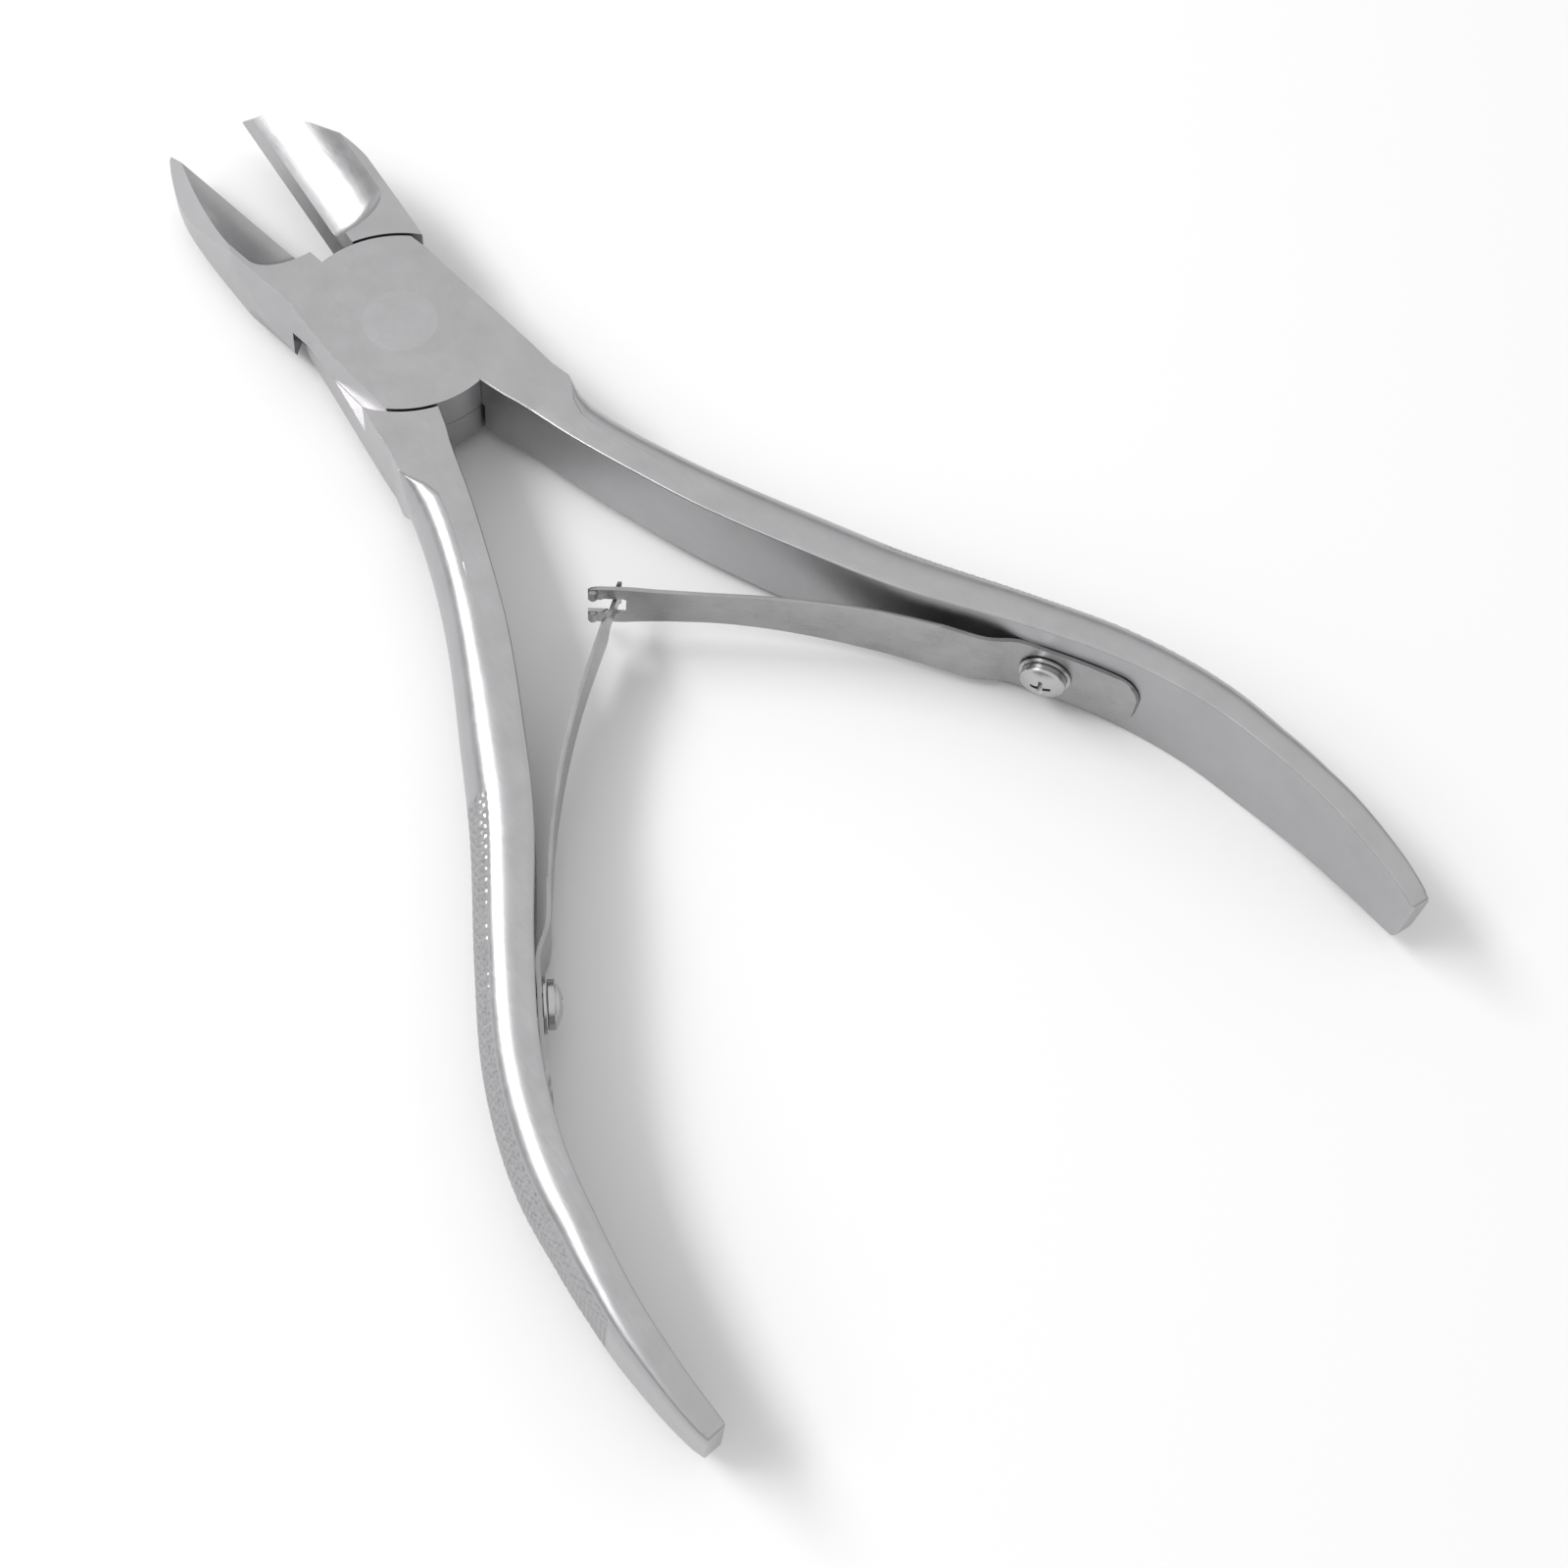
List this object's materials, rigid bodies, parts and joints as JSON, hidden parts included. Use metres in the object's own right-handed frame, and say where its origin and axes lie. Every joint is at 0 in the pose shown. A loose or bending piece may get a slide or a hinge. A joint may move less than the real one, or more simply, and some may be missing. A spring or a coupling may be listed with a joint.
{
  "type": "sprue nippers",
  "caption": "Lap-jointed side-cutting nippers with hollow-ground jaws, curved knurled handles and interlocking leaf springs that hold them open.",
  "frame": {"origin": "on the pivot axis, at the ground back face of the joint", "axes": "+Z along the pivot axis towards the front lap, +Y midway between the handles towards the jaws' tips, +X towards the right handle; rest pose is sprung open"},
  "size_m": [0.0746, 0.1252, 0.0102],
  "materials": {
    "satin_steel": "satin brushed stainless steel, hollows and handle edges polished brighter",
    "spring_steel": "fine satin spring steel",
    "bright_steel": "bright turned steel"
  },
  "bodies": {
    "front": {"front_half": "satin_steel", "pivot_rivet": "satin_steel", "fork_leaf_foot": "spring_steel", "fork_screw": "bright_steel", "fork_washer": "bright_steel"},
    "back": {"back_half": "satin_steel", "tongue_leaf_foot": "spring_steel", "tongue_screw": "bright_steel", "tongue_washer": "bright_steel"},
    "fork_spring": {"fork_leaf_arm": "spring_steel"},
    "tongue_spring": {"tongue_leaf_arm": "spring_steel"}
  },
  "joints": [
    {"name": "pivot", "type": "hinge", "parent": "front", "child": "back", "pos_m": [0, 0, 0.0035], "axis": [0, 0, 1], "range_deg": [0, 14], "stiffness_Nm_per_rad": 1.5, "springref_deg": -5.73},
    {"name": "fork_flex", "type": "hinge", "parent": "front", "child": "fork_spring", "pos_m": [0.021, -0.05275, 0.0035], "axis": [0, 0, 1], "range_deg": [-9.5, 0]},
    {"name": "tongue_flex", "type": "hinge", "parent": "back", "child": "tongue_spring", "pos_m": [-0.021, -0.05275, 0.0035], "axis": [0, 0, 1], "range_deg": [0, 9.5]}
  ],
  "couplings": [
    {"joint": "fork_flex", "follows": "pivot", "ratio": -0.669},
    {"joint": "tongue_flex", "follows": "pivot", "ratio": 0.669}
  ]
}
